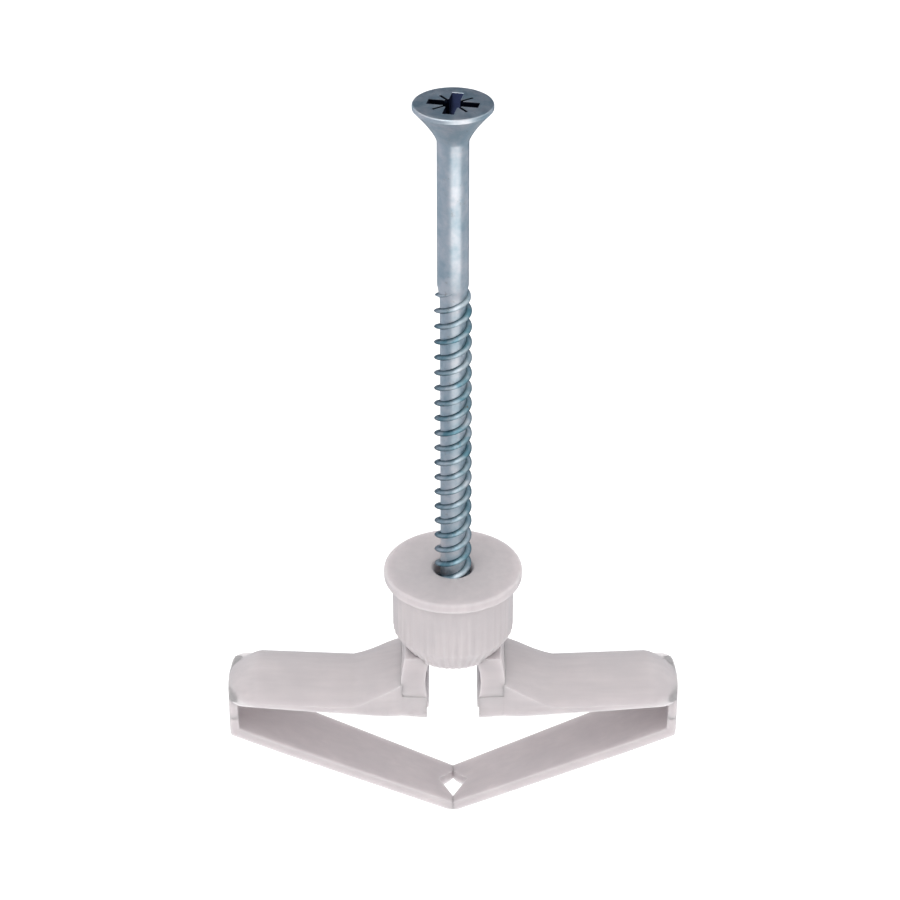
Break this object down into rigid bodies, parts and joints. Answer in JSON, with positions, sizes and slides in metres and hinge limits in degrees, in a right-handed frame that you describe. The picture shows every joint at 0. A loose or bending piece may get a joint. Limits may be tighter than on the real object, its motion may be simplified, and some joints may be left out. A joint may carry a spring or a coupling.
{
  "type": "wall anchor",
  "caption": "Folding plastic wing anchor for hollow walls: flanged barrel, two hinged arms and struts meeting at an apex, with a countersunk twin-start wood screw.",
  "frame": {"origin": "centre of the flange's underside, on the axis of the bore, where the barrel enters the board", "axes": "+Z along the bore towards the screw's head, X along the two wings, Y across them"},
  "size_m": [0.05, 0.0148, 0.0844],
  "materials": {
    "natural_plastic": "natural unpigmented polypropylene, satin and translucent",
    "zinc_steel": "bright zinc-plated steel, blue passivated"
  },
  "bodies": {
    "collar": {"flange": "natural_plastic", "barrel": "natural_plastic", "neck_left": "natural_plastic", "neck_right": "natural_plastic", "neck_hinge_left": "natural_plastic", "neck_hinge_right": "natural_plastic"},
    "arm_left": {"arm_left": "natural_plastic", "tip_lug_left": "natural_plastic"},
    "arm_right": {"arm_right": "natural_plastic", "tip_lug_right": "natural_plastic"},
    "strut_left": {"strut_left": "natural_plastic", "tip_hinge_left": "natural_plastic"},
    "strut_right": {"strut_right": "natural_plastic", "tip_hinge_right": "natural_plastic"},
    "screw": {"screw_body": "zinc_steel", "screw_thread": "zinc_steel"}
  },
  "joints": [
    {"name": "left_wing_fold", "type": "hinge", "parent": "collar", "child": "arm_left", "pos_m": [-0.0049, 0, -0.012], "axis": [0, -1, 0], "range_deg": [0, 90]},
    {"name": "right_wing_fold", "type": "hinge", "parent": "collar", "child": "arm_right", "pos_m": [0.0049, 0, -0.012], "axis": [0, 1, 0], "range_deg": [0, 90]},
    {"name": "left_strut_fold", "type": "hinge", "parent": "arm_left", "child": "strut_left", "pos_m": [-0.0247, 0, -0.0156], "axis": [0, 1, 0], "range_deg": [0, 150.04]},
    {"name": "right_strut_fold", "type": "hinge", "parent": "arm_right", "child": "strut_right", "pos_m": [0.0247, 0, -0.0156], "axis": [0, -1, 0], "range_deg": [0, 150.04]},
    {"name": "screw_drive", "type": "slide", "parent": "collar", "child": "screw", "axis": [0, 0, -1], "range_m": [-0.01, 0.019]}
  ],
  "couplings": [
    {"joint": "right_wing_fold", "follows": "left_wing_fold", "ratio": 1},
    {"joint": "left_strut_fold", "follows": "left_wing_fold", "ratio": 1.6665},
    {"joint": "right_strut_fold", "follows": "left_wing_fold", "ratio": 1.6665}
  ]
}
